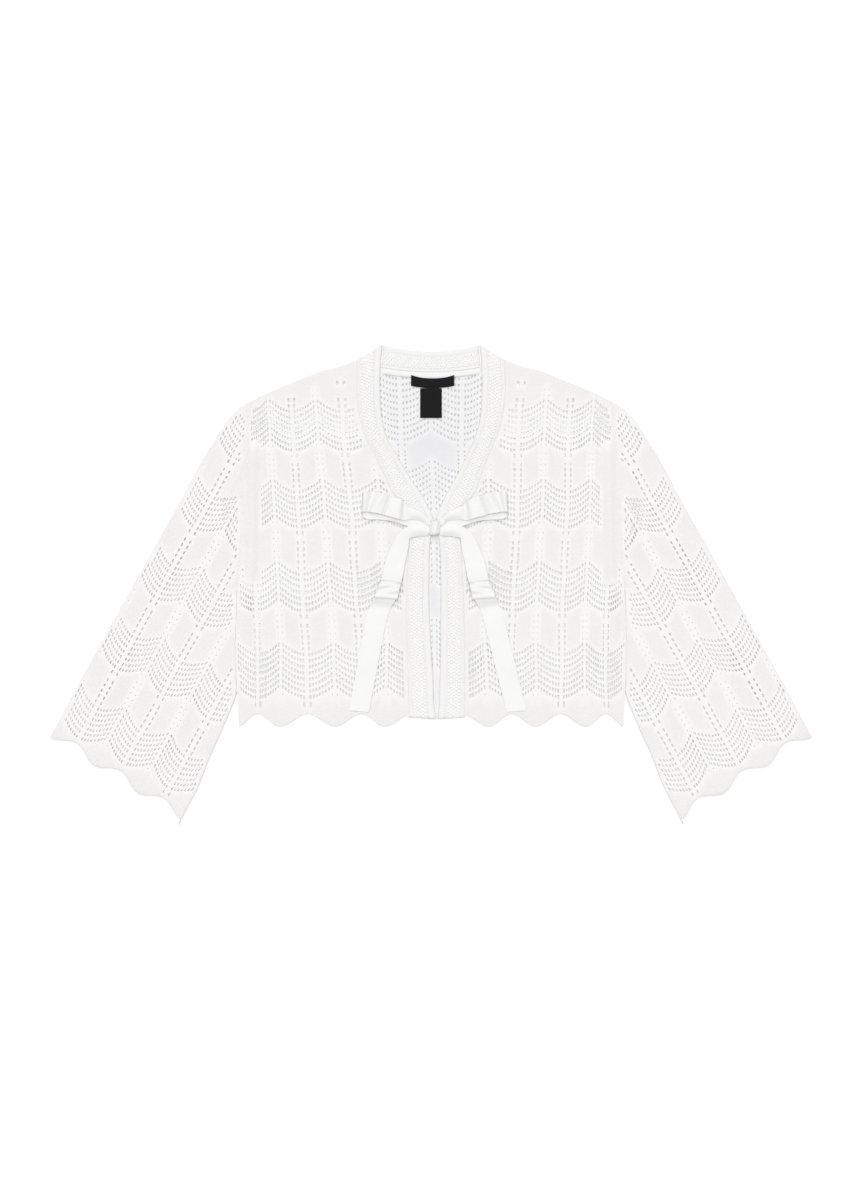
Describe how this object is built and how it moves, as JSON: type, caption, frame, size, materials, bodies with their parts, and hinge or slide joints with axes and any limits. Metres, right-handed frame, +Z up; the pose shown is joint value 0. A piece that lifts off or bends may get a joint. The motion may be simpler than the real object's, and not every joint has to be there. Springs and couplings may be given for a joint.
{
  "type": "pointelle cardigan",
  "caption": "Cropped knitted cardigan laid flat, with a V neck, wide scalloped sleeves and hem, lace eyelets and a satin ribbon bow at the front.",
  "frame": {"origin": "middle of the footprint, on the surface that the garment lies on", "axes": "+X toward the garment's right-hand side of the picture, +Y toward the neck, +Z up out of the front"},
  "size_m": [0.9512, 0.5988, 0.0131],
  "materials": {
    "knit": "soft matt white pointelle knit",
    "band_knit": "matt white doubled fine knit",
    "satin_ribbon": "white satin ribbon",
    "neck_tape": "plain white seam tape",
    "label": "plain black woven tape"
  },
  "bodies": {
    "root": {"back": "knit", "front_left": "knit", "front_right": "knit", "sleeve_left": "knit", "sleeve_right": "knit", "band_neck": "band_knit", "band_left": "band_knit", "band_right": "band_knit", "neck_tape": "neck_tape", "neck_label": "label", "size_tab": "label", "bow_knot": "satin_ribbon", "bow_loop_left": "satin_ribbon", "bow_loop_right": "satin_ribbon", "ribbon_tail_left": "satin_ribbon", "ribbon_tail_right": "satin_ribbon"}
  },
  "joints": []
}
